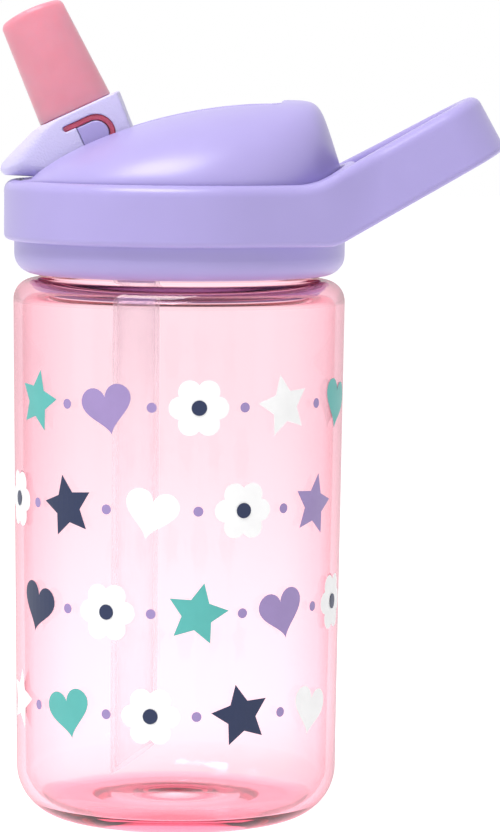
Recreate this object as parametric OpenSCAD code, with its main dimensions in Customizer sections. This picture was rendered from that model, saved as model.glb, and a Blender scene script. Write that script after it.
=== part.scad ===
// Kids' screw-cap drinking bottle with a flip spout, an inner straw and a fixed carry loop.
// Origin: centre of the standing face. +Z up, the carry loop points to +X, the open spout to -X.

/* [Bottle] */
// Outer diameter of the bottle just under its shoulder
body_d = 74.2; // [72:0.2:80]
// Outer diameter of the bottle just above its base corner
base_d = 71.9; // [68:0.1:78]
// Height of the shoulder, where the neck starts
shoulder_z = 121.4; // [100:1:160]
// Wall thickness of the bottle
wall = 2; // [1.6:0.1:2.6]
// Radius of the rounded base corner
base_corner_r = 11.5; // [8:0.5:13]

/* [Neck and thread] */
// Outer diameter of the neck without its thread
neck_d = 62.6; // [61:0.1:64]
// Height of the neck above the shoulder
neck_h = 12.7; // [12:0.1:13.5]
// Rise of the screw thread in one turn
pitch = 4; // [3.5:0.1:4.5]

/* [Cap] */
// Diameter of the cap's skirt
skirt_d = 74; // [73.6:0.2:78]
// Outer diameter of the band of the carry ring
band_d = 78.6; // [78:0.2:82]
// Height of the band
band_h = 13.4; // [12:0.2:15]
// Height of the dome above the band
dome_h = 18.2; // [16:0.2:22]

/* [Carry loop] */
// Reach of the loop beyond its bend, along the slope
loop_reach = 44.3; // [36:0.1:50]
// Slope of the loop
loop_slope = 29; // [15:1:40]
// Radius of the loop's round end
loop_end_r = 15; // [12:0.5:18]
// Thickness of the loop's arms
loop_t = 5.5; // [4:0.5:7]

/* [Spout and straw] */
// Width of the spout block between the cheeks
spout_w = 19; // [17:0.5:20]
// Lean of the open spout from the vertical
spout_lean = 25; // [20:1:30]
// Length of the mouthpiece above the spout block
valve_l = 24.6; // [18:0.5:26]
// Outer diameter of the straw
straw_d = 10.4; // [9.6:0.1:11]

/* [Hidden] */
$fn = 128;

fit = 0.05;              // gap between pieces that are pressed or welded together
eps = 0.01;
far = 200;

// Bottle
body_r = body_d / 2;
base_r = base_d / 2;
shoulder_r = 4.6;        // rounding of the shoulder's edge
neck_r = neck_d / 2;
neck_top = shoulder_z + neck_h;
stand_r = 21;            // outer radius of the ring that the bottle stands on
stand_w = 3;
heel_rise = 0.45;        // from the standing ring to the foot of the base corner
push_up_r = 16;          // radius of the raised middle of the base
push_up_h = 2.6;
floor_t = 2.4;
thread_h = 1.4;          // height of the screw thread above the neck
thread_w = 1.25;         // half the thread's width at its root

// Cap levels, from the bottom up
skirt_z = shoulder_z + 1.2;
band_z = skirt_z + 7.5;
plate_z = neck_top + 1.5;        // underside of the cap's sealing plate
plate_t = 2.3;
cover_z = plate_z + plate_t + fit;
channel_z = cover_z + 1.3;       // floor of the channel that the spout folds into
band_top = band_z + band_h;

skirt_r = skirt_d / 2;
band_r = band_d / 2;
core_r = skirt_r - 0.4;          // cap base and dome cover, inside the band
cavity_r = neck_r + 2.1;         // inside of the threaded skirt
skirt_corner_r = 4.5;

// Dome: a rounded hump that climbs slowly from the front and ends in a steep rear face
peak_x = 27;
dome_front = 60;                 // from the peak to the dome's front end
rear_x = core_r + 0.3;           // foot of the rear face
rear_run = 5.9;                  // from the rear face's foot to its upper edge
dome_t = 2.2;
channel_hw = spout_w / 2 + 0.7;  // half the width between the cheeks
cheek_t = 2.2;
channel_end = 22.5;
channel_start = -28.5;

// Spout hinge
pivot = [-16.5, 0, band_top + 5.9];
barrel_r = 7.6;
pin_r = 2.4;
pin_l = 2.4;
seat_s = 11.6;                   // from the pivot to the seat of the mouthpiece
valve_off = -2.25;               // sideways offset of the mouthpiece from the pivot
valve_r = 8.6;
valve_tip_r = 7.3;
root_r = 7.6;
root_s = 3.4;                    // from the pivot to the end of the mouthpiece's root
duct_r = 2.2;

// Straw
straw_x = -9.6;
straw_r = straw_d / 2;
straw_t = 0.9;
straw_low = 9.5;
straw_top = plate_z - 6;
port_x = pivot[0] - 1.6;         // where the drink enters the spout

// Vent
vent_at = [10, 20];

// Half-height of a rounded curve that falls from 1 to 0 as u goes from 0 to 1
function crest(u, n, m) = pow(max(0, 1 - pow(min(1, u), n)), m);
// Steep rear face with a rounded upper edge, t inside the outer surface
function rear_face(x, t) = pow(1 + pow(max(0.01, (rear_x - t - x) / rear_run), -6), -1 / 6);
function dome_line(x, t) = crest(max(0, peak_x - x) / dome_front, 2, 0.77) * rear_face(x, t);
function circle_y(r, x) = sqrt(max(0, r * r - x * x));

// A thread ridge: rings of four points along a helix, its height fading at both ends
module ridge(r_root, r_crest, half_root, half_crest, z0, from, to) {
    step = 6;
    steps = floor((to - from) / step);
    fade = 24;
    outward = r_crest > r_root;
    function grow(a) = min(1, max(0.05, min(a - from, to - a) / fade));
    pts = [for (i = [0:steps]) let (a = from + i * step, g = grow(a), z = z0 + pitch * a / 360,
            rc = r_root + (r_crest - r_root) * g, rb = r_root + (outward ? -0.5 : 0.5))
            for (p = [[rb, -half_root], [rc, -half_crest], [rc, half_crest], [rb, half_root]])
                [p[0] * cos(a), p[0] * sin(a), z + p[1]]];
    side = [for (i = [0:steps - 1], k = [0:3]) let (j = (k + 1) % 4)
            outward ? [4 * i + k, 4 * i + j, 4 * i + 4 + j, 4 * i + 4 + k]
                    : [4 * i + k, 4 * i + 4 + k, 4 * i + 4 + j, 4 * i + j]];
    ends = outward ? [[3, 2, 1, 0], [for (k = [0:3]) 4 * steps + k]]
                   : [[0, 1, 2, 3], [for (k = [3:-1:0]) 4 * steps + k]];
    polyhedron(points = pts, faces = concat(side, ends), convexity = 6);
}

// Half of the bottle's section, drawn in by the amount t on every side
module bottle_half(t) {
    rb = base_r - t;
    rt = body_r - t;
    zt = shoulder_z - t;
    cb = base_corner_r - t;
    corner_z = heel_rise + base_corner_r;
    ct = shoulder_r - t * 0.6;
    z0 = t > 0 ? push_up_h + floor_t : 0;
    difference() {
        union() {
            polygon([[0, z0], [stand_r, z0], [rb - cb, max(z0, heel_rise + t)], [rb - cb, corner_z],
                     [rb, corner_z], [rt, zt - ct], [rt - ct, zt], [0, zt]]);
            intersection() {
                translate([rb - cb, corner_z]) circle(r = cb);
                translate([0, z0]) square([far, far]);
            }
            translate([rt - ct, zt - ct]) circle(r = ct);
        }
        translate([-far, -far / 2]) square([far, far * 2]);
    }
}

module bottle_body() {
    color([1, 0.82, 0.87, 0.45]) union() {
        rotate_extrude() difference() {
            union() {
                bottle_half(0);
                translate([0, shoulder_z - 1]) square([neck_r, neck_h + 1]);
            }
            polygon([[-1, -1], [stand_r - stand_w, -1], [stand_r - stand_w, 0], [push_up_r, push_up_h],
                     [-1, push_up_h]]);
            bottle_half(wall);
            translate([-1, shoulder_z - 4]) square([neck_r - wall + 1, neck_h + 5]);
        }
        ridge(neck_r, neck_r + thread_h, thread_w, 0.7, shoulder_z + 4.3, 0, 450);
    }
}

module cap_base() {
    boss_r = 6.6;
    boss_h = 6.1;
    boss_z = straw_top;
    bore_r = 2.8;            // through the nozzle
    vent_r = 1.25;           // hole for the vent valve's stem
    color("#b4a8e0") difference() {
        union() {
            rotate_extrude() difference() {
                union() {
                    translate([skirt_r - skirt_corner_r, skirt_z + skirt_corner_r])
                        circle(r = skirt_corner_r);
                    translate([0, skirt_z]) square([skirt_r - skirt_corner_r, 8]);
                    translate([0, skirt_z + skirt_corner_r])
                        square([skirt_r, band_z - skirt_z - skirt_corner_r - fit]);
                    translate([0, band_z - 1]) square([core_r, plate_z + plate_t - band_z + 1]);
                }
                translate([-far, skirt_z - 1]) square([far, 20]);
                translate([-1, skirt_z - 1]) square([cavity_r + 1, plate_z - skirt_z + 1]);
            }
            // Inner collar that centres the gasket and the neck
            translate([0, 0, plate_z - 2.6]) difference() {
                cylinder(r = neck_r - wall - 0.4, h = 2.7);
                translate([0, 0, -1]) cylinder(r = neck_r - wall - 2.2, h = 5);
            }
            // Boss with the passage from the straw across to the spout's port
            for (x = [port_x, straw_x]) translate([x, 0, boss_z]) cylinder(r = boss_r, h = boss_h);
            translate([port_x, -boss_r, boss_z]) cube([straw_x - port_x, 2 * boss_r, boss_h]);
            // Nozzle that the straw is pushed over
            translate([straw_x, 0, boss_z - 10]) cylinder(r = straw_r - straw_t - fit, h = 11);
            ridge(cavity_r, neck_r + 0.6, thread_w, 0.6, shoulder_z + 2.3, 90, 450);
        }
        translate([straw_x, 0, boss_z - 11]) cylinder(r = bore_r, h = 14);
        translate([port_x, 0, boss_z + 3]) cylinder(r = duct_r, h = 10);
        translate([port_x, 0, boss_z + 3]) rotate([0, 90, 0]) cylinder(r = duct_r, h = straw_x - port_x);
        translate([vent_at[0], vent_at[1], plate_z - 1]) cylinder(r = vent_r, h = 6);
        for (a = [45:90:315]) translate([vent_at[0], vent_at[1], plate_z - 1])
            rotate(a) translate([2.6, 0, 0]) cylinder(r = 0.6, h = 6);
    }
}

// Solid hump, drawn in by t: a hull of cross-sections along X
module hump(t) {
    r = core_r - 0.15 - t;
    front = [for (i = [0:18]) -r + (peak_x + r) * i / 18];
    rear = [for (i = [1:10]) peak_x + (rear_x - t - 0.6 - peak_x) * i / 10];
    hull() for (x = concat(front, rear)) let (w = circle_y(r, x), h = max(0.3, dome_h * dome_line(x, t) - t))
        translate([x, 0, 0]) rotate([90, 0, 90]) linear_extrude(eps)
            polygon([for (s = [-1:0.1:1]) [w * s, band_top + h * crest(abs(s), 2.6, 0.62)]]);
}

// The hump on its round foot, drawn in by t
module dome_solid(t) {
    below = t > 1 ? 1 : 0;
    translate([0, 0, cover_z - below]) cylinder(r = core_r - t, h = band_top + 0.2 - cover_z + below);
    hump(t);
}

// Space that the spout folds into, with rounded rear corners and a shallow front end
module channel_space(grow) {
    hw = channel_hw + grow;
    z = channel_z - grow;
    rc = 3;
    translate([channel_start - grow, -hw, z]) cube([channel_end - rc - channel_start + grow, 2 * hw, 60]);
    translate([channel_end - rc - 1, rc - channel_hw, z])
        cube([rc + 1 + grow, 2 * (channel_hw - rc), 60]);
    for (y = [-1, 1]) translate([channel_end - rc, y * (channel_hw - rc), z])
        cylinder(r = rc + grow, h = 60);
    translate([-60, -hw, band_top - 0.3 - grow]) cube([40, 2 * hw, 60]);
}

module dome_cover() {
    color("#cfc6f2") difference() {
        union() {
            difference() {
                dome_solid(0);
                dome_solid(dome_t);
            }
            intersection() {
                dome_solid(0.8);
                channel_space(cheek_t);
            }
        }
        channel_space(0);
        // Bearings for the spout's pins
        translate(pivot) rotate([90, 0, 0])
            cylinder(r = pin_r + fit, h = 2 * (channel_hw + cheek_t) - 0.6, center = true);
        // Window for the seal
        translate([pivot[0] - 7.5, -6.5, cover_z - 1]) cube([8.7, 13, 4]);
        // The spout's barrel turns in this hollow
        translate(pivot) rotate([90, 0, 0]) cylinder(r = barrel_r + 0.4, h = 2 * channel_hw, center = true);
    }
}

// Plan of the loop: two circles joined by straight arms that dip just inside their tangents
module teardrop(r1, r2, x2) {
    dip = 0.15;
    a = acos((r1 - r2) / x2);
    circle(r = r1);
    translate([x2, 0]) circle(r = r2);
    function on_circle(x, r, s) = [x + (r - dip) * cos(a), s * (r - dip) * sin(a)];
    polygon([on_circle(0, r1, 1), on_circle(x2, r2, 1), on_circle(x2, r2, -1), on_circle(0, r1, -1)]);
}

// Band and carry loop in one piece: the arms leave the band on a tangent, then slope up
module carry_ring() {
    bend_x = 34.3;
    loop_h = band_h + 0.5;
    end_x = bend_x + loop_reach - loop_end_r;
    edge = 2.4;
    module arms(from) {
        intersection() {
            difference() {
                teardrop(band_r - 0.25, loop_end_r, end_x);
                teardrop(band_r - loop_t, loop_end_r - loop_t, end_x);
                circle(r = core_r + 1);
            }
            translate([from, -far / 2]) square([far, far]);
        }
    }
    color("#bcb2e6") union() {
        rotate_extrude() difference() {
            union() {
                translate([0, band_z]) square([band_r, band_h - edge]);
                translate([0, band_z]) square([band_r - edge, band_h]);
                translate([band_r - edge, band_top - edge]) circle(r = edge);
            }
            translate([-far, 0]) square([far + core_r + fit, far]);
        }
        // Level arms
        intersection() {
            translate([0, 0, band_z]) linear_extrude(band_h - 0.3) arms(6);
            cube([2 * bend_x + 0.6, far, 2 * far], center = true);
        }
        // Sloping arms, with the end's corners rounded in the side view
        translate([bend_x, 0, band_z]) rotate([0, -loop_slope, 0]) intersection() {
            translate([-bend_x, 0, 0]) linear_extrude(loop_h) arms(bend_x);
            rotate([90, 0, 0]) linear_extrude(far, center = true) union() {
                translate([-1, 0]) square([loop_reach - edge + 1, loop_h]);
                translate([0, edge]) square([loop_reach + 1, loop_h - 2 * edge]);
                for (y = [edge, loop_h - edge]) translate([loop_reach - edge, y]) circle(r = edge);
            }
        }
    }
}

module cap_gasket() {
    color("#f4f1ec") translate([0, 0, neck_top + fit]) difference() {
        cylinder(r = neck_r + 0.8, h = plate_z - neck_top - 2 * fit);
        translate([0, 0, -1]) cylinder(r = neck_r - wall - 0.3, h = 4);
    }
}

module spout_seal() {
    color("#e8607c") difference() {
        translate([pivot[0] - 7.4, -6.4, cover_z]) cube([8.5, 12.8, 5.5]);
        translate(pivot) rotate([90, 0, 0]) cylinder(r = barrel_r + 0.1, h = 30, center = true);
        translate([port_x, 0, cover_z - 1]) cylinder(r = duct_r, h = 10);
    }
}

// Puts a piece in the spout's own frame: its local Z runs along the mouthpiece
module in_spout_frame() {
    translate(pivot) rotate([0, -spout_lean, 0]) children();
}

// Curved slot in each side of the spout block, which frees the snap arm of the pin
module snap_slot() {
    slot_w = 1.3;
    r = 3.7;
    run = 5.6;
    centre = [0.1, 4.9];
    rotate([90, 0, 0]) linear_extrude(2.6, center = true) translate(centre) {
        difference() {
            circle(r = r + slot_w / 2);
            circle(r = r - slot_w / 2);
            translate([-far, -far / 2]) square([far, far]);
            rotate(-26) translate([-far / 2, -far]) square([far, far]);
        }
        translate([-run, r - slot_w / 2]) square([run + eps, slot_w]);
        translate([-run, r]) circle(r = slot_w / 2);
    }
}

module flip_spout() {
    // Side outline from the pivot: front lip, beak, underside and back lip
    lip_front = [-15.2, 5.9];
    beak_top = [-23.8, -3.0];
    beak_low = [-22.4, -4.9];
    heel = [-15, -5.2];
    under = [-7.5, -5.3];
    dip = 0.15;              // keeps the straight back from grazing the barrel
    back = [(barrel_r - dip) * cos(spout_lean), (barrel_r - dip) * sin(spout_lean)];
    lip_back = [2.3, 14.5];
    color("#c9c0f0") difference() {
        union() {
            translate(pivot) rotate([90, 0, 0]) {
                linear_extrude(spout_w, center = true) union() {
                    polygon([lip_front, beak_top, beak_low, heel, under, [-4, -6], [0, 0], back, lip_back]);
                    translate([-22.8, -3.8]) circle(r = 1.15);
                }
                cylinder(r = barrel_r, h = spout_w, center = true);
                cylinder(r = pin_r, h = spout_w + 2 * pin_l, center = true);
            }
        }
        in_spout_frame() {
            translate([valve_off, 0, root_s]) cylinder(r = root_r + fit, h = 20);
            cylinder(r = duct_r, h = 10);
            for (y = [-1, 1]) translate([0, y * (spout_w / 2 - 1), 0]) snap_slot();
            translate([-30, -30, seat_s]) cube([60, 60, 20]);
        }
        translate([port_x, 0, pivot[2] - 12]) cylinder(r = duct_r, h = 12);
    }
}

module bite_valve() {
    tip_r = 1.8;
    skin = 1.7;
    lip_t = 2.4;
    color([1, 0.6, 0.68, 0.9]) in_spout_frame() translate([valve_off, 0, seat_s]) difference() {
        union() {
            rotate_extrude() difference() {
                union() {
                    polygon([[0, fit], [valve_r, fit], [valve_tip_r, valve_l - tip_r],
                             [valve_tip_r - tip_r, valve_l], [0, valve_l]]);
                    translate([valve_tip_r - tip_r, valve_l - tip_r]) circle(r = tip_r);
                }
                translate([-far, 0]) square([far, far]);
            }
            translate([0, 0, root_s + fit - seat_s]) cylinder(r = root_r, h = seat_s - root_s);
        }
        cylinder(r1 = valve_r - skin, r2 = valve_tip_r - skin, h = valve_l - lip_t);
        translate([-valve_off, 0, root_s - seat_s - 1]) cylinder(r = duct_r, h = seat_s - root_s + 2);
        // Slit that opens when it is bitten
        translate([0, 0, valve_l]) cube([8, 0.4, 8], center = true);
    }
}

module vent_valve() {
    color("#f2efe9") translate([vent_at[0], vent_at[1], plate_z]) rotate_extrude()
        polygon([[0, -1.3], [3.6, -0.9], [3.8, -0.1], [1.2, -0.1], [1.2, plate_t + 0.1],
                 [1.9, plate_t + 0.1], [1.2, plate_t + 1.6], [0, plate_t + 1.6]]);
}

module straw() {
    cut = 35;
    color([1, 0.87, 0.9, 0.7]) translate([straw_x, 0, 0]) difference() {
        translate([0, 0, straw_low]) cylinder(r = straw_r, h = straw_top - straw_low - fit);
        translate([0, 0, straw_low - 1]) cylinder(r = straw_r - straw_t, h = far);
        // Slanted foot, so that the straw can't seal itself against the floor
        translate([-straw_r, 0, straw_low]) rotate([0, -cut, 0]) translate([-2, -20, -40]) cube([40, 40, 40]);
    }
}

bottle_body();
cap_base();
dome_cover();
carry_ring();
cap_gasket();
spout_seal();
flip_spout();
bite_valve();
vent_valve();
straw();
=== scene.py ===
"""Looks for the kids' water bottle: refined shells, clear pink plastic, silicone, a plain repeating print."""

import math

import bmesh
import bpy
import numpy as np
from mathutils import Matrix, Vector
from mathutils.geometry import delaunay_2d_cdt


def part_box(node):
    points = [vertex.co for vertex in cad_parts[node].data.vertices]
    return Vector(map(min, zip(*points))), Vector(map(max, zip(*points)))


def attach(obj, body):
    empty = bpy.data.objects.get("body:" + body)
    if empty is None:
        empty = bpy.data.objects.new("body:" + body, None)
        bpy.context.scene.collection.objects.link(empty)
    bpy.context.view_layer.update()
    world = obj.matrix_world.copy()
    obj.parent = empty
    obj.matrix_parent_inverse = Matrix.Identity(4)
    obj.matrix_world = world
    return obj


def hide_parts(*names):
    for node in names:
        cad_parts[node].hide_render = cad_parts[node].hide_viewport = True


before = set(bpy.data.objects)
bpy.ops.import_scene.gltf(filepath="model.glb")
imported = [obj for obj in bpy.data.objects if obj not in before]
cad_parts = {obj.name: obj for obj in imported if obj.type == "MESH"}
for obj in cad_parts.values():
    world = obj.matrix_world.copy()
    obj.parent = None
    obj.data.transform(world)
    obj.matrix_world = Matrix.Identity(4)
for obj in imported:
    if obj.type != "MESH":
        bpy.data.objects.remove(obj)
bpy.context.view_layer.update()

MM = 0.001
IMAGE_H = 832                        # of the picture, in its own units


def node_box(name):
    """Lowest and highest corners of a CAD node, in millimetres."""
    low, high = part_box(name)
    return np.array(low) / MM, np.array(high) / MM


# ---------------------------------------------------------------- sizes, in millimetres
_, body_high = node_box("bottle_body")
ring_low, ring_high = node_box("carry_ring")
dome_low, dome_high = node_box("dome_cover")
valve_low, valve_high = node_box("bite_valve")

BODY_R = body_high[0]                # under the shoulder
NECK_TOP = body_high[2]
NECK_H = 12.7
SHOULDER = NECK_TOP - NECK_H
SHOULDER_R = 4.6                     # of the rounded shoulder
BASE_R = BODY_R - 1.15               # above the base corner
WALL = 2.0
NECK_R = 31.3
CORNER_R = 11.5
HEEL_RISE = 0.45                     # from the standing ring to the foot of the base corner
BAND_LOW = ring_low[2]
BAND_R = -ring_low[0]
BAND_H = 13.4
BAND_TOP = BAND_LOW + BAND_H
CORE_R = dome_high[0]
DOME_H = dome_high[2] - BAND_TOP
PIVOT = np.array([-16.5, 0.0, BAND_TOP + 5.9])
LEAN = math.radians(25)
HALF_SPOUT = 9.5                     # half the width of the spout block
BARREL_R = 7.6                       # of the barrel that the spout turns on
SEAT = 11.6                          # from the pivot to the seat of the mouthpiece
VALVE_OFF = 2.25                     # of the mouthpiece, towards the beak
TAB_DEPTH = 0.4                      # of the tab's face below the block's
TAB_FLOOR = 1.2                      # depth of the pocket that the tab lies in
TAB_GAP = 0.12                       # seam round the tab
INLAY_DEPTH = 0.6                    # of the silicone's face below the block's
CHANNEL_HALF = 10.2
PITCH = 4.0


# ---------------------------------------------------------------- distance fields
def both(a, b, r=0.0):
    """Where both fields are solid; the edge between them is rounded to the radius r."""
    r = np.maximum(r, 1e-6)
    return np.minimum(np.maximum(a, b) + r, 0) + np.hypot(np.maximum(a + r, 0), np.maximum(b + r, 0)) - r


def join(a, b, r=0.0):
    """Where either field is solid, with a fillet of radius r between them."""
    return -both(-a, -b, r)


def cut(a, b, r=0.0):
    return both(a, -b, r)


def ramp(x, start, soft):
    """x - start beyond start and 0 before it, with the corner rounded over +-soft. Also its slope."""
    u = np.clip((x - start + soft) / (2 * soft), 0, 1)
    return np.where(u < 1, soft * u * u, x - start), u


def smooth_step(x, low, high):
    u = np.clip((x - low) / (high - low), 0, 1)
    return u * u * (3 - 2 * u)


def two_circles(x, y, r1, r2, apart):
    """Distance to the outline that wraps a circle at the origin and one at (apart, 0)."""
    y = np.abs(y)
    sine = (r1 - r2) / apart
    cosine = math.sqrt(1 - sine * sine)
    along = x * cosine - y * sine
    side = x * sine + y * cosine - r1
    return np.where(along < 0, np.hypot(x, y) - r1,
                    np.where(along > cosine * apart, np.hypot(x - apart, y) - r2, side))


def polygon_field(x, y, points):
    """Distance to a closed polygon, negative inside."""
    d = np.full(x.shape, 1e9)
    inside = np.zeros(x.shape, bool)
    for (ax, ay), (bx, by) in zip(points, points[1:] + points[:1]):
        ex, ey = bx - ax, by - ay
        t = np.clip(((x - ax) * ex + (y - ay) * ey) / (ex * ex + ey * ey), 0, 1)
        d = np.minimum(d, np.hypot(x - ax - t * ex, y - ay - t * ey))
        crosses = (ay > y) != (by > y)
        inside ^= crosses & (x < ax + (y - ay) * ex / (ey if ey else 1e-9))
    return np.where(inside, -d, d)


def box_field(x, y, z, low, high):
    return np.maximum.reduce([low[0] - x, x - high[0], low[1] - y, y - high[1], low[2] - z, z - high[2]])


def surface(name, field, low, high, step, material):
    """A closed smooth mesh of the field's zero surface, by surface nets pulled onto the field."""
    low = np.array(low, float) - step
    count = np.ceil((np.array(high, float) + step - low) / step).astype(int) + 1
    axes = [low[k] + step * np.arange(count[k]) for k in range(3)]
    value = field(*np.meshgrid(*axes, indexing="ij"))
    solid = value < 0
    unit = np.eye(3, dtype=int)
    corners = sum(solid[i:count[0] - 1 + i, j:count[1] - 1 + j, k:count[2] - 1 + k].astype(np.int8)
                  for i in (0, 1) for j in (0, 1) for k in (0, 1))
    mixed = (corners > 0) & (corners < 8)
    index = np.full(mixed.shape, -1)
    index[mixed] = np.arange(mixed.sum())
    cells = np.argwhere(mixed)
    total = np.zeros((len(cells), 3))
    hits = np.zeros(len(cells))
    for axis in range(3):
        u, v = unit[(axis + 1) % 3], unit[(axis + 2) % 3]
        for start in (0 * u, u, v, u + v):
            a = cells + start
            b = a + unit[axis]
            va, vb = value[tuple(a.T)], value[tuple(b.T)]
            crossed = (va < 0) != (vb < 0)
            t = np.where(crossed, va / np.where(crossed, va - vb, 1), 0)
            total += crossed[:, None] * (a + t[:, None] * unit[axis])
            hits += crossed
    points = low + step * total / hits[:, None]

    def slope(p, h=0.03):
        return np.stack([(field(*(p + h * e).T) - field(*(p - h * e).T)) / (2 * h) for e in np.eye(3)], -1)

    for _ in range(3):
        g = slope(points)
        size = np.maximum((g * g).sum(1), 0.05)
        move = (field(*points.T) / size)[:, None] * g
        length = np.linalg.norm(move, axis=1, keepdims=True)
        points -= move * np.minimum(1, 0.4 * step / np.maximum(length, 1e-9))
    faces = []
    for axis in range(3):
        u, v = unit[(axis + 1) % 3], unit[(axis + 2) % 3]
        upper = np.roll(solid, -1, axis)
        change = solid != upper
        edge = np.argwhere(change)
        keep = (edge[:, axis] < count[axis] - 1) & (edge @ u > 0) & (edge @ v > 0)
        edge = edge[keep]
        quad = np.stack([index[tuple((edge - s).T)] for s in (0 * u, u, u + v, v)], -1)
        out = solid[tuple(edge.T)]
        faces.append(np.where(out[:, None], quad, quad[:, ::-1]))
    faces = np.concatenate(faces)
    g = slope(points)
    normals = g / np.maximum(np.linalg.norm(g, axis=1, keepdims=True), 1e-9)
    return new_mesh(name, points, faces.tolist(), material, normals)


def new_mesh(name, points, faces, material, normals=None):
    mesh = bpy.data.meshes.new(name)
    mesh.from_pydata((np.asarray(points) * MM).tolist(), [], faces)
    mesh.update()
    mesh.polygons.foreach_set("use_smooth", [True] * len(mesh.polygons))
    if normals is not None:
        mesh.normals_split_custom_set_from_vertices(normals.tolist())
    mesh.materials.append(material)
    piece = bpy.data.objects.new(name, mesh)
    bpy.context.collection.objects.link(piece)
    return piece


def lathe(name, outline, material, turns=192, centre=(0.0, 0.0)):
    """A closed mesh turned round a vertical axis from a closed outline of (radius, height) points."""
    ring = len(outline)
    points = [(centre[0] + r * math.cos(a), centre[1] + r * math.sin(a), z)
              for a in (2 * math.pi * k / turns for k in range(turns)) for r, z in outline]
    faces = [(k * ring + i, (k + 1) % turns * ring + i, (k + 1) % turns * ring + (i + 1) % ring,
              k * ring + (i + 1) % ring) for k in range(turns) for i in range(ring)]
    return new_mesh(name, points, faces, material)


def arc(cx, cy, r, start, end, parts=10):
    """Points along an arc, angles in degrees."""
    return [(cx + r * math.cos(math.radians(start + (end - start) * k / parts)),
             cy + r * math.sin(math.radians(start + (end - start) * k / parts))) for k in range(parts + 1)]


# ---------------------------------------------------------------- materials
def new_material(name, colour, roughness, **sockets):
    """A Principled material. Other sockets are set by name, with _ for a space."""
    material = bpy.data.materials.new(name)
    material.use_nodes = True
    shader = material.node_tree.nodes["Principled BSDF"]
    shader.inputs["Base Color"].default_value = (*colour, 1)
    shader.inputs["Roughness"].default_value = roughness
    for key, number in sockets.items():
        shader.inputs[key.replace("_", " ")].default_value = number
    return material, material.node_tree, shader


def add_node(tree, kind, **settings):
    node = tree.nodes.new("ShaderNode" + kind)
    for key, number in settings.items():
        if key in node.inputs:
            node.inputs[key].default_value = number
        else:
            setattr(node, key, number)
    return node


def add_grain(tree, shader, scale, height_mm, strength=1.0, detail=3.0):
    """Fine moulded grain in the surface, from object-space noise."""
    place = add_node(tree, "TexCoord")
    noise = add_node(tree, "TexNoise", Scale=scale, Detail=detail)
    bump = add_node(tree, "Bump", Strength=strength, Distance=height_mm * MM)
    tree.links.new(place.outputs["Object"], noise.inputs["Vector"])
    tree.links.new(noise.outputs["Fac"], bump.inputs["Height"])
    tree.links.new(bump.outputs["Normal"], shader.inputs["Normal"])
    return place, noise


def add_variation(tree, shader, place, colour, amount, scale):
    """Slow colour variation of a few per cent, as in pigmented plastic."""
    noise = add_node(tree, "TexNoise", Scale=scale, Detail=2.0)
    ramp_node = add_node(tree, "ValToRGB")
    ramp_node.color_ramp.elements[0].position = 0.3
    ramp_node.color_ramp.elements[1].position = 0.7
    ramp_node.color_ramp.elements[0].color = (*[c * (1 - amount) for c in colour], 1)
    ramp_node.color_ramp.elements[1].color = (*[min(1, c * (1 + amount)) for c in colour], 1)
    tree.links.new(place.outputs["Object"], noise.inputs["Vector"])
    tree.links.new(noise.outputs["Fac"], ramp_node.inputs["Fac"])
    tree.links.new(ramp_node.outputs["Color"], shader.inputs["Base Color"])


def moulded_plastic(name, colour, roughness, grain_mm, scale):
    material, tree, shader = new_material(name, colour, roughness, Subsurface_Weight=0.12,
                                          Subsurface_Scale=0.004, IOR=1.49)
    shader.inputs["Subsurface Radius"].default_value = (1.0, 0.8, 1.0)
    place, _ = add_grain(tree, shader, scale, grain_mm)
    add_variation(tree, shader, place, colour, 0.02, 60)
    return material


def clear_plastic(name, tint, density, roughness, ior):
    """Clear coloured plastic: the colour comes from the thickness, the dark line along its edges is painted
    shade, and lamps shine through it.
    """
    material, tree, shader = new_material(name, (1, 1, 1), roughness, Transmission_Weight=1.0, IOR=ior)
    add_grain(tree, shader, 90, 0.01, 0.4, 1.0)
    volume = add_node(tree, "VolumeAbsorption", Density=density)
    volume.inputs["Color"].default_value = (*tint, 1)
    tree.links.new(volume.outputs["Volume"], tree.nodes["Material Output"].inputs["Volume"])
    edge = add_node(tree, "LayerWeight", Blend=0.25)
    depth = add_node(tree, "ValToRGB")
    depth.color_ramp.elements[0].position = 0.15
    depth.color_ramp.elements[0].color = (1, 1, 1, 1)
    depth.color_ramp.elements[1].color = (1, 0.24, 0.36, 1)
    tree.links.new(edge.outputs["Facing"], depth.inputs["Fac"])
    tree.links.new(depth.outputs["Color"], shader.inputs["Base Color"])
    clear = add_node(tree, "BsdfTransparent")
    clear.inputs["Color"].default_value = (1, 0.93, 0.95, 1)
    light = add_node(tree, "LightPath")
    # painted shade: a thin dark pink line where the wall is seen edge on, in place of the darker surroundings
    # that it reflects there
    rim = add_node(tree, "BsdfDiffuse")
    rim.inputs["Color"].default_value = (0.72, 0.20, 0.27, 1)
    painted_edge_mask = add_node(tree, "MapRange")
    painted_edge_mask.inputs["From Min"].default_value = 0.4
    painted_edge_mask.inputs["To Max"].default_value = 0.85
    tree.links.new(edge.outputs["Facing"], painted_edge_mask.inputs["Value"])
    with_painted_edge_shade = add_node(tree, "MixShader")
    tree.links.new(painted_edge_mask.outputs["Result"], with_painted_edge_shade.inputs["Fac"])
    tree.links.new(shader.outputs["BSDF"], with_painted_edge_shade.inputs[1])
    tree.links.new(rim.outputs["BSDF"], with_painted_edge_shade.inputs[2])
    mix = add_node(tree, "MixShader")
    tree.links.new(light.outputs["Is Shadow Ray"], mix.inputs["Fac"])
    tree.links.new(with_painted_edge_shade.outputs["Shader"], mix.inputs[1])
    tree.links.new(clear.outputs["BSDF"], mix.inputs[2])
    tree.links.new(mix.outputs["Shader"], tree.nodes["Material Output"].inputs["Surface"])
    return material


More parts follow.
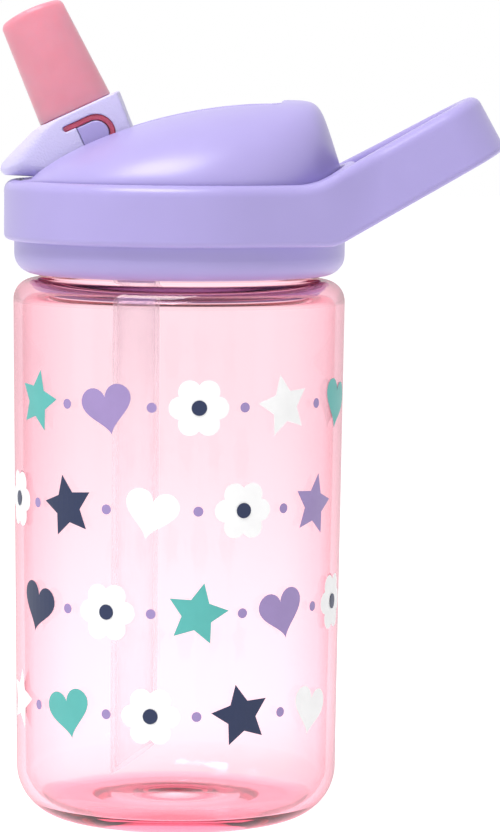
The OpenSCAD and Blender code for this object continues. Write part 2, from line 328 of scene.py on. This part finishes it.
def milky_plastic(name, colour, roughness, solidity):
    """Thin cloudy plastic that lets most of the light straight through, less of it at its edges."""
    material, tree, shader = new_material(name, colour, roughness)
    add_grain(tree, shader, 300, 0.02)
    edge = add_node(tree, "LayerWeight", Blend=0.35)
    cover = add_node(tree, "MapRange")
    cover.inputs["To Min"].default_value = solidity
    cover.inputs["To Max"].default_value = 0.4
    tree.links.new(edge.outputs["Facing"], cover.inputs["Value"])
    tree.links.new(cover.outputs["Result"], shader.inputs["Alpha"])
    return material


def silicone(name, colour, clearness, roughness):
    material, tree, shader = new_material(name, colour, roughness, Subsurface_Weight=0.85,
                                          Subsurface_Scale=0.006, IOR=1.41, Transmission_Weight=clearness)
    shader.inputs["Subsurface Radius"].default_value = (1.0, 0.45, 0.5)
    place, _ = add_grain(tree, shader, 500, 0.02)
    add_variation(tree, shader, place, colour, 0.04, 120)
    return material


def ink(name, colour):
    material, tree, shader = new_material(name, colour, 0.42, IOR=1.5)
    place, _ = add_grain(tree, shader, 1400, 0.01)
    add_variation(tree, shader, place, colour, 0.03, 220)
    return material


LILAC = moulded_plastic("lilac_plastic", (0.39, 0.335, 0.66), 0.34, 0.012, 900)
LILAC_MATTE = moulded_plastic("lilac_textured", (0.60, 0.56, 0.82), 0.36, 0.14, 2200)
CLEAR_PINK = clear_plastic("clear_pink", (0.97, 0.15, 0.40), 98, 0.02, 1.46)
STRAW = milky_plastic("straw_plastic", (0.98, 0.95, 0.96), 0.30, 0.03)
CORAL = silicone("coral_silicone", (1.0, 0.34, 0.43), 0.22, 0.28)
# painted shade: the coral silicone darkened to the red it shows in the shade behind the slot
CORAL_PAINTED_SHADE = silicone("coral_silicone_painted_shade", (0.80, 0.09, 0.15), 0.0, 0.4)
MILKY = silicone("white_silicone", (0.86, 0.84, 0.81), 0.15, 0.4)
INKS = {"white": ink("white_ink", (0.96, 0.96, 0.96)), "teal": ink("teal_ink", (0.09, 0.45, 0.42)),
        "lavender": ink("lavender_ink", (0.33, 0.24, 0.50)), "navy": ink("navy_ink", (0.006, 0.017, 0.07))}


# ---------------------------------------------------------------- bottle
def bottle_outline():
    """Closed half-section: up the outside, over the rim and down the inside."""
    foot, push_r, push_h, floor = 21.0, 16.0, 2.6, 5.0
    corner_z = CORNER_R + HEEL_RISE
    outer = [(0.001, push_h), (push_r - 1.5, push_h)] + arc(push_r - 1.5, push_h - 1.5, 1.5, 80, 40, 4)
    outer += arc(foot - 1.6, 1.4, 1.4, 220, 270, 5) + [(foot, 0.12)]
    outer += arc(BASE_R - CORNER_R, corner_z, CORNER_R, 277, 360, 18)
    outer += [(BASE_R + (BODY_R - BASE_R) * k / 8, corner_z + (SHOULDER - SHOULDER_R - corner_z) * k / 8)
              for k in range(1, 8)]
    outer += arc(BODY_R - SHOULDER_R, SHOULDER - SHOULDER_R, SHOULDER_R, 0, 90, 12)
    outer += arc(NECK_R + 0.8, SHOULDER + 0.8, 0.8, 270, 180, 5)
    outer += arc(NECK_R - 0.6, NECK_TOP - 0.6, 0.6, 0, 90, 4)
    inner_neck = NECK_R - WALL
    inner = arc(inner_neck + 0.5, NECK_TOP - 0.5, 0.5, 90, 180, 4)
    inner += arc(inner_neck + 1.5, SHOULDER - 0.5, 1.5, 180, 270, 6)
    inner += arc(BODY_R - WALL - 3.2, SHOULDER - WALL - 3.2, 3.2, 90, 0, 10)
    inner += arc(BASE_R - CORNER_R, corner_z, CORNER_R - WALL, 0, -50, 12)
    inner += [(push_r, floor), (0.001, floor)]
    return outer + inner


def thread_ridge(name, root, crest, z0, start, end, material):
    """A helical ridge whose height fades at both ends."""
    step, fade, half_root, half_crest = 4, 24, 1.25, 0.7
    points = []
    turns = range(start, end + 1, step)
    for a in turns:
        grow = min(1, max(0.05, min(a - start, end - a) / fade))
        top = root + (crest - root) * grow
        turn = math.radians(a)
        foot = root - 0.4
        for r, dz in ((foot, -half_root), (top, -half_crest), (top, half_crest), (foot, half_root)):
            points.append((r * math.cos(turn), r * math.sin(turn), z0 + PITCH * a / 360 + dz))
    last = len(turns) - 1
    faces = [(4 * i + k, 4 * i + (k + 1) % 4, 4 * i + 4 + (k + 1) % 4, 4 * i + 4 + k)
             for i in range(last) for k in range(4)]
    faces += [(3, 2, 1, 0), tuple(4 * last + k for k in range(4))]
    return new_mesh(name, points, faces, material)


def make_bottle():
    body = lathe("bottle_shell", bottle_outline(), CLEAR_PINK, turns=256)
    thread = thread_ridge("neck_thread", NECK_R, NECK_R + 1.4, SHOULDER + 4.3, 0, 450, CLEAR_PINK)
    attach(body, "bottle")
    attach(thread, "bottle")
    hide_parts("bottle_body")


# ---------------------------------------------------------------- cap
LOOP_BEND = 34.3
LOOP_REACH = 43.7
LOOP_END_R = 15.0
LOOP_T = 5.5
SLOPE = math.radians(29)


def ring_field(x, y, z):
    """The band, with arms that leave it on a tangent, slope up and meet in a round end."""
    rise = math.tan(SLOPE)
    lift_low, u_low = ramp(x, LOOP_BEND + 0.3, 2.0)
    lift_top, u_top = ramp(x, LOOP_BEND - 4.4, 4.0)
    low = (BAND_LOW + rise * lift_low - z) / np.hypot(1, rise * u_low)
    top = (z - BAND_TOP - rise * lift_top) / np.hypot(1, rise * u_top)
    sloped = LOOP_BEND + (x - LOOP_BEND) * math.cos(SLOPE) + (z - BAND_LOW) * math.sin(SLOPE)
    along = x + smooth_step(x, 31, 45) * (sloped - x)
    end_x = LOOP_BEND + LOOP_REACH - LOOP_END_R
    outer = two_circles(along, y, BAND_R, LOOP_END_R, end_x)
    inner = two_circles(along, y, BAND_R - LOOP_T, LOOP_END_R - LOOP_T, end_x)
    radius = np.hypot(x, y)
    hole = both(inner, BAND_R - radius, 2.5)
    hole = both(hole, 6 - x)
    solid = both(both(outer, top, 2.4), low, 1.3)
    solid = cut(solid, hole, 1.5)
    return both(solid, CORE_R + 0.05 - radius, 0.25)


def dome_raw(x, y, z, inset):
    peak, front, rear_run = 27.0, 60.0, 5.9
    u = np.clip((peak - x) / front, 0, 1)
    rear = np.maximum(0.01, (CORE_R + 0.3 - inset - x) / rear_run)
    line = np.maximum(0, 1 - u ** 2) ** 0.77 * (1 + rear ** -6) ** (-1 / 6)
    height = np.maximum(0.3, DOME_H * line - inset)
    width = np.sqrt(np.maximum(0.25, (CORE_R - 0.15 - inset) ** 2 - x * x))
    up = np.maximum(z - BAND_TOP, 0) / height
    return (np.abs(y) / width) ** 2.6 + up ** 1.613 - 1


def hump(x, y, z, inset):
    """The dome's outer surface, drawn in by inset, as a rough distance."""
    h = 0.05
    f = dome_raw(x, y, z, inset)
    gx = (dome_raw(x + h, y, z, inset) - f) / h
    gy = (dome_raw(x, y + h, z, inset) - f) / h
    gz = (dome_raw(x, y, z + h, inset) - f) / h
    size = np.sqrt(gx * gx + gy * gy + gz * gz)
    return f / np.maximum(size, 0.02)


def channel(x, y, z, grow):
    """The space that the spout folds into, with a raised front sill."""
    half = CHANNEL_HALF + grow
    end = 22.5 + grow
    corner = 3.0
    plan = both(np.abs(y) - half, x - end, corner)
    floor = np.where(x < -28.5 - grow, BAND_TOP - 0.3, dome_low[2] + 1.3) - grow
    return both(plan, floor - z)


def dome_field(x, y, z):
    radius = np.hypot(x, y)
    shell = both(hump(x, y, z, 0), radius - CORE_R, 0.3)
    shell = both(shell, dome_low[2] - z)
    hollow = both(hump(x, y, z, 2.2), radius - CORE_R + 2.2)
    walls = channel(x, y, z, 2.2)
    solid = cut(shell, both(hollow, -walls))
    solid = cut(solid, channel(x, y, z, 0), 0.9)
    barrel = np.hypot(x - PIVOT[0], z - PIVOT[2])
    solid = cut(solid, both(barrel - BARREL_R - 0.4, np.abs(y) - CHANNEL_HALF))
    solid = cut(solid, both(barrel - 2.45, np.abs(y) - CHANNEL_HALF - 1.9))
    low, high = (PIVOT[0] - 7.5, -6.5, dome_low[2] - 1), (PIVOT[0] + 1.2, 6.5, dome_low[2] + 3)
    window = box_field(x, y, z, low, high)
    return cut(solid, window)


def make_cap():
    ring = surface("carry_ring_shell", ring_field, ring_low, ring_high, 0.55, LILAC)
    dome = surface("dome_shell", dome_field, dome_low, dome_high, 0.5, LILAC)
    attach(ring, "cap")
    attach(dome, "cap")
    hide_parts("carry_ring")
    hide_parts("dome_cover")


# ---------------------------------------------------------------- spout
def spout_frame(x, z):
    """Sideways and lengthwise position in the spout's own frame, whose length runs along the mouthpiece."""
    dx, dz = x - PIVOT[0], z - PIVOT[2]
    return dx * math.cos(LEAN) + dz * math.sin(LEAN), -dx * math.sin(LEAN) + dz * math.cos(LEAN)


def slot_field(side, up):
    """Distance to the middle line of the J-shaped slot: a straight run, then an arc round its centre."""
    cx, cy, r = 0.1, 4.9, 3.7
    straight = np.hypot(side - np.clip(side, -5.6, cx), up - cy - r)
    angle = np.arctan2(up - cy, side - cx)
    angle = np.clip(angle, math.radians(-26), math.pi / 2)
    bend = np.hypot(side - cx - r * np.cos(angle), up - cy - r * np.sin(angle))
    return np.minimum(straight, bend)


def under_slot(side, up):
    """Distance to the region that the slot bends round."""
    bend = np.where(side > 0.1, np.hypot(side - 0.1, up - 4.9) - 3.0, up - 7.9)
    return both(bend, both(-3.4 - side, 0.5 - up))


def spout_field(x, y, z):
    px, pz = PIVOT[0], PIVOT[2]
    side, up = spout_frame(x, z)
    outline = [(-15.2, 5.9), (-23.8, -3.0), (-23.8, -4.1), (-22.4, -4.9), (-15, -5.2), (-7.5, -5.3), (-4, -6),
               (0, 0), (6.8, 3.2), (2.3, 14.5)]
    block = polygon_field(x - px, z - pz, outline)
    barrel = np.hypot(x - px, z - pz) - BARREL_R
    profile = join(block, barrel, 1.0)
    edge = 0.9 + 2.8 * smooth_step(-(x - px), 9, 17)
    solid = both(profile, np.abs(y) - HALF_SPOUT, edge)
    beak_corner = both(-(x - px) - 23.8, np.abs(y) - HALF_SPOUT, 6.0)
    solid = both(solid, beak_corner, 1.2)
    solid = both(solid, up - SEAT, 0.5)
    pins = both(np.hypot(x - px, z - pz) - 2.4, np.abs(y) - HALF_SPOUT - 2.4, 0.3)
    solid = join(solid, pins)
    socket = both(np.hypot(side + VALVE_OFF, y) - 7.65, 3.4 - up)
    solid = cut(solid, socket, 0.3)
    slot = both(slot_field(side, up) - 0.65, 5.0 - np.abs(y))
    solid = cut(solid, slot, 0.22)
    solid = cut(solid, both(under_slot(side, up), HALF_SPOUT - TAB_FLOOR - np.abs(y)), 0.1)
    duct = both(np.hypot(side, y) - 2.2, both(-up, up - 6))
    return cut(solid, duct)


def spout_tab_field(x, y, z):
    """Smooth tab that lies recessed in each face of the block, inside the bend of the slot."""
    side, up = spout_frame(x, z)
    return both(both(under_slot(side, up) + TAB_GAP, np.abs(y) - HALF_SPOUT + TAB_DEPTH, 0.15),
                HALF_SPOUT - TAB_FLOOR - np.abs(y))


def slot_silicone_shade_field(x, y, z):
    """Silicone that fills the slot to just under the faces of the block, darkened with painted shade inside
    the slot.
    """
    side, up = spout_frame(x, z)
    inside = both(slot_field(side, up) - 0.6, np.abs(y) - HALF_SPOUT + INLAY_DEPTH, 0.1)
    return both(inside, 5.2 - np.abs(y))


def valve_field(x, y, z):
    side, up = spout_frame(x, z)
    side = side + VALVE_OFF
    above = up - SEAT
    length = 24.6
    t = np.clip(above / length, 0, 1)
    half_x = 8.6 - 1.3 * t
    half_y = 8.6 - 2.4 * t ** 1.5
    across = (np.hypot(side / half_x, y / half_y) - 1) * half_x
    crown = length - 0.8 * (side / 7.3) ** 2
    outer = both(both(across, above - crown, 1.2), 0.05 - above, 0.3)
    dimple = np.sqrt((side / 5.2) ** 2 + (y / 2.2) ** 2 + ((above - length - 0.2) / 1.5) ** 2) - 1
    outer = cut(outer, dimple * 1.5, 0.6)
    root = both(np.hypot(side, y) - 7.6, both(above - 0.1, 3.45 - up))
    solid = np.minimum(outer, root)
    hollow = both((np.hypot(side / (half_x - 1.9), y / (half_y - 1.9)) - 1) * (half_x - 1.9),
                  both(above - length + 3.2, -above - 7.5), 1.2)
    hollow = np.minimum(hollow, both(np.hypot(side - VALVE_OFF, y) - 2.2, both(above + 6, 2.4 - up)))
    solid = cut(solid, hollow)
    slit = box_field(side, y, above, (-3.6, -0.12, length - 6), (3.6, 0.12, length + 3))
    return cut(solid, slit)


def make_spout():
    low, high = node_box("flip_spout")
    spout = surface("spout_block", spout_field, low, high, 0.3, LILAC_MATTE)
    valve = surface("mouthpiece", valve_field, valve_low, valve_high, 0.3, CORAL)
    # coral silicone in the slot, drawn dark red as painted shade
    shaded_inlay = surface("slot_silicone_painted_shade", slot_silicone_shade_field, low, high, 0.25, CORAL_PAINTED_SHADE)
    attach(spout, "spout")
    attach(valve, "spout")
    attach(shaded_inlay, "spout")
    tabs = surface("spout_tabs", spout_tab_field, low, high, 0.25, LILAC)
    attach(tabs, "spout")
    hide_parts("flip_spout")
    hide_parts("bite_valve")


def make_straw():
    low, high = node_box("straw")
    r, wall = (high[0] - low[0]) / 2, 0.9
    centre = ((low[0] + high[0]) / 2, 0.0)
    outline = [(r - wall, low[2]), (r, low[2]), (r, high[2]), (r - wall, high[2])]
    straw = lathe("drinking_straw", outline, STRAW, turns=64, centre=centre)
    reach = math.tan(math.radians(35))
    for v in straw.data.vertices:
        if v.co.z < (low[2] + 1) * MM:
            v.co.z += (v.co.x - (centre[0] - r) * MM) * reach
    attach(straw, "cap")
    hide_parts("straw")


def dress_cad_nodes():
    # the spout seal gets the coral silicone darkened with painted shade
    for name, material in (("cap_base", LILAC), ("cap_gasket", MILKY), ("vent_valve", MILKY),
                           ("spout_seal", CORAL_PAINTED_SHADE)):
        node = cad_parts[name]
        for k in range(len(node.material_slots)):
            node.material_slots[k].material = material


# ---------------------------------------------------------------- print
def disc(x, y, r, parts=20):
    return [(x + r * math.cos(2 * math.pi * k / parts), y + r * math.sin(2 * math.pi * k / parts))
            for k in range(parts)]


PRINT_R = BODY_R - 0.6               # the radius that distances round the bottle are measured at
PRINT_COLUMNS = 5
PRINT_SPAN = math.radians(160)       # of the front that the rows cover
PRINT_ROWS = 4
PRINT_LOW = 28.0                     # height of the lowest row
ROW_PITCH = 22.5
MOTIF = 7.0                          # radius of a large motif
DOT_R = 1.1
INK_LIFT = 0.03                      # of the lowest layer above the wall
INK_STEP = 0.05                      # from one layer to the next
INK_THICK = 0.04


def placed(shape, x, y, size, tilt):
    """A unit shape, turned by tilt degrees, scaled and moved."""
    c, s = math.cos(math.radians(tilt)), math.sin(math.radians(tilt))
    return [(x + size * (c * px - s * py), y + size * (s * px + c * py)) for px, py in shape]


def heart(x, y, size, tilt=0.0):
    """A plain heart from its usual formula."""
    turn = [2 * math.pi * k / 48 for k in range(48)]
    shape = [(math.sin(t) ** 3, (13 * math.cos(t) - 5 * math.cos(2 * t) - 2 * math.cos(3 * t)
                                 - math.cos(4 * t)) / 16) for t in turn]
    return placed(shape, x, y, size, tilt)


def star(x, y, size, tilt=0.0):
    """A plain five-pointed star."""
    points = [(0.5 if k % 2 else 1.0, math.pi * k / 5) for k in range(10)]
    return placed([(r * math.sin(a), r * math.cos(a)) for r, a in points], x, y, size, tilt)


def daisy(x, y, size):
    """Six round petals on a ring."""
    angles = [2 * math.pi * k / 6 for k in range(6)]
    return [disc(x + 0.58 * size * math.cos(a), y + 0.58 * size * math.sin(a), 0.36 * size) for a in angles]


def repeat_print():
    """Stars, hearts and daisies in staggered rows across the front half, with dots between them."""
    art = {"white": [], "lavender": [], "teal": [], "navy": []}
    pitch = PRINT_SPAN * PRINT_R / PRINT_COLUMNS
    colours = ["white", "teal", "lavender", "navy"]
    for row in range(PRINT_ROWS):
        z = PRINT_LOW + ROW_PITCH * row
        for column in range(PRINT_COLUMNS):
            s = pitch * (column - (PRINT_COLUMNS - 1) / 2 + (0.25 if row % 2 else -0.25))
            colour = colours[(column + 3 * row) % len(colours)]
            kind = (column + row) % 3
            tilt = 12.0 if column % 2 else -12.0
            if kind == 0:
                art[colour].append(star(s, z, MOTIF, tilt))
            elif kind == 1:
                art[colour].append(heart(s, z, 0.85 * MOTIF, tilt))
            else:
                art["white"] += daisy(s, z, MOTIF)
                art["navy"].append(disc(s, z, 0.24 * MOTIF))
            if column < PRINT_COLUMNS - 1:
                art["lavender"].append(disc(s + pitch / 2, z, DOT_R))
    return art


def body_radius(z):
    """Outer radius of the bottle's straight wall at a height."""
    low_z, high_z = CORNER_R + HEEL_RISE, SHOULDER - SHOULDER_R
    return BASE_R + (BODY_R - BASE_R) * (z - low_z) / (high_z - low_z)


def printed(name, shapes, material, lift, thick, radius, body, spacing=1.6):
    """One thin solid layer of ink: the union of flat outlines, wrapped round a radius that may taper."""
    coords, rings = [], []
    for shape in shapes:
        shape = [p for p, q in zip(shape, shape[1:] + shape[:1]) if math.dist(p, q) > 1e-3]
        rings.append(list(range(len(coords), len(coords) + len(shape))))
        coords += shape
    flat = np.array(coords)
    low, high = flat.min(0), flat.max(0)
    grid = [(x, y) for x in np.arange(low[0], high[0], spacing) for y in np.arange(low[1], high[1], spacing)]
    verts, _, faces, _, _, _ = delaunay_2d_cdt([Vector(p) for p in coords + grid], [], rings, 1, 1e-4)
    points = []
    for layer in (lift, lift + thick):
        for v in verts:
            r = radius(v.y) + layer
            a = v.x / PRINT_R
            points.append((r * math.sin(a), -r * math.cos(a), v.y))
    n = len(verts)
    count = {}
    for face in faces:
        for a, b in zip(face, face[1:] + face[:1]):
            count[(a, b)] = count.get((a, b), 0) + 1
    walls = [(a, b, b + n, a + n) for a, b in count if (b, a) not in count]
    solid = [tuple(face[::-1]) for face in faces] + [tuple(v + n for v in face) for face in faces] + walls
    piece = new_mesh(name, points, solid, material)
    drop_loose(piece.data)
    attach(piece, body)
    return piece


def drop_loose(mesh):
    work = bmesh.new()
    work.from_mesh(mesh)
    bmesh.ops.delete(work, geom=[v for v in work.verts if not v.link_faces], context="VERTS")
    bmesh.ops.recalc_face_normals(work, faces=work.faces)
    for face in work.faces:
        face.smooth = False
    work.to_mesh(mesh)
    work.free()


def print_bottle():
    """Each colour of the print is one thin layer; the later ones lie over the earlier."""
    art = repeat_print()
    for level, colour in enumerate(("white", "lavender", "teal", "navy")):
        printed(f"print_{colour}", art[colour], INKS[colour], INK_LIFT + INK_STEP * level, INK_THICK,
                body_radius, "bottle")


# ---------------------------------------------------------------- stage, light and camera
def make_floor():
    """A pale floor with a little glow, so that it stays as bright as the backdrop."""
    material, tree, shader = new_material("pale_floor", (0.5, 0.5, 0.5), 0.8, Emission_Strength=0.8)
    shader.inputs["Emission Color"].default_value = (1, 1, 1, 1)
    add_grain(tree, shader, 40, 0.05, 0.3)
    size = 4.0
    mesh = bpy.data.meshes.new("floor")
    corners = [(-size, -size, 0), (size, -size, 0), (size, size, 0), (-size, size, 0)]
    mesh.from_pydata(corners, [], [(0, 1, 2, 3)])
    mesh.materials.append(material)
    floor = bpy.data.objects.new("floor", mesh)
    bpy.context.collection.objects.link(floor)


def make_backdrop():
    """A white surround whose soft light on matt surfaces is weaker than it looks, to leave the lamps room."""
    world = bpy.data.worlds.new("soft_white")
    world.use_nodes = True
    tree = world.node_tree
    bright = tree.nodes["Background"]
    bright.inputs["Color"].default_value = (1, 1, 1, 1)
    dim = add_node(tree, "Background", Strength=0.32)
    dim.inputs["Color"].default_value = (1, 1, 1, 1)
    light = add_node(tree, "LightPath")
    mix = add_node(tree, "MixShader")
    tree.links.new(light.outputs["Is Diffuse Ray"], mix.inputs["Fac"])
    tree.links.new(bright.outputs["Background"], mix.inputs[1])
    tree.links.new(dim.outputs["Background"], mix.inputs[2])
    tree.links.new(mix.outputs["Shader"], tree.nodes["World Output"].inputs["Surface"])
    bpy.context.scene.world = world
    bpy.context.scene.view_settings.view_transform = "Standard"
    bpy.context.scene.view_settings.look = "None"


def area_light(name, place, size, power, target=(0, 0, 0.1)):
    light = bpy.data.lights.new(name, "AREA")
    light.shape = "RECTANGLE"
    light.size, light.size_y = size
    light.energy = power
    lamp = bpy.data.objects.new(name, light)
    lamp.location = place
    lamp.rotation_euler = (Vector(target) - Vector(place)).to_track_quat("-Z", "Y").to_euler()
    bpy.context.collection.objects.link(lamp)


def make_lights():
    area_light("key", (-0.2, -0.35, 1.0), (0.6, 0.5), 10.5)
    area_light("side", (-0.9, -0.35, 0.3), (0.3, 0.8), 0.3)


def make_camera():
    distance, pitch, roll = 0.950, math.radians(5.0), math.radians(0.5)
    focal_pixels = 4228
    target = Vector((0.0161, 0, 0.0907))
    forward = Vector((0, math.cos(pitch), -math.sin(pitch)))
    data = bpy.data.cameras.new("camera")
    data.sensor_fit = "AUTO"
    data.sensor_width = 36
    data.lens = focal_pixels / IMAGE_H * data.sensor_width
    camera = bpy.data.objects.new("camera", data)
    turn = forward.to_track_quat("-Z", "Y").to_matrix().to_4x4() @ Matrix.Rotation(roll, 4, "Z")
    camera.matrix_world = Matrix.Translation(target - distance * forward) @ turn
    bpy.context.collection.objects.link(camera)
    bpy.context.scene.camera = camera


make_camera()
make_lights()
make_floor()
make_backdrop()
make_bottle()
make_cap()
make_spout()
make_straw()
dress_cad_nodes()
print_bottle()
